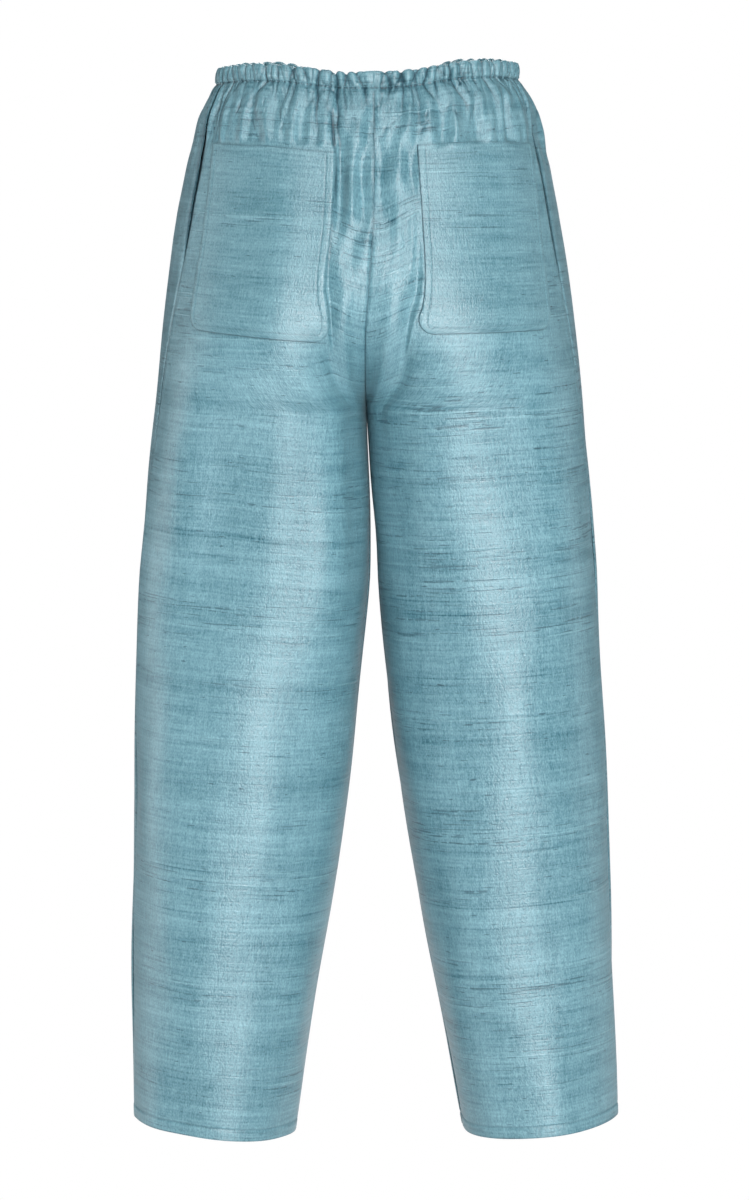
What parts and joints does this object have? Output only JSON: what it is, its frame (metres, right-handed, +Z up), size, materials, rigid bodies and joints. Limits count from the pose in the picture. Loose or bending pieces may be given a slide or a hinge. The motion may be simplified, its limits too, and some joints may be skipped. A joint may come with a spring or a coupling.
{
  "type": "wide-leg pants",
  "caption": "Pull-on trousers with an elastic waist, wide tapered legs, patch pockets on the seat and pockets in the side seams.",
  "frame": {"origin": "centre of the waist opening, half way up the waist casing", "axes": "+Z up towards the wearer's head, -Y towards the wearer's front, +X towards the wearer's left"},
  "size_m": [0.4675, 0.2557, 1.0259],
  "materials": {
    "casing_silk": "slubby silk, gathered on elastic",
    "panel_silk": "slubby plain-weave silk with a soft sheen",
    "pocket_silk": "slubby plain-weave silk with a soft sheen",
    "bag_silk": "plain silk"
  },
  "bodies": {
    "root": {"waistband": "casing_silk", "back_left": "panel_silk", "back_right": "panel_silk", "front_left": "panel_silk", "front_right": "panel_silk", "back_pocket_left": "pocket_silk", "back_pocket_right": "pocket_silk", "side_pocket_bag_left": "bag_silk", "side_pocket_bag_right": "bag_silk"}
  },
  "joints": []
}
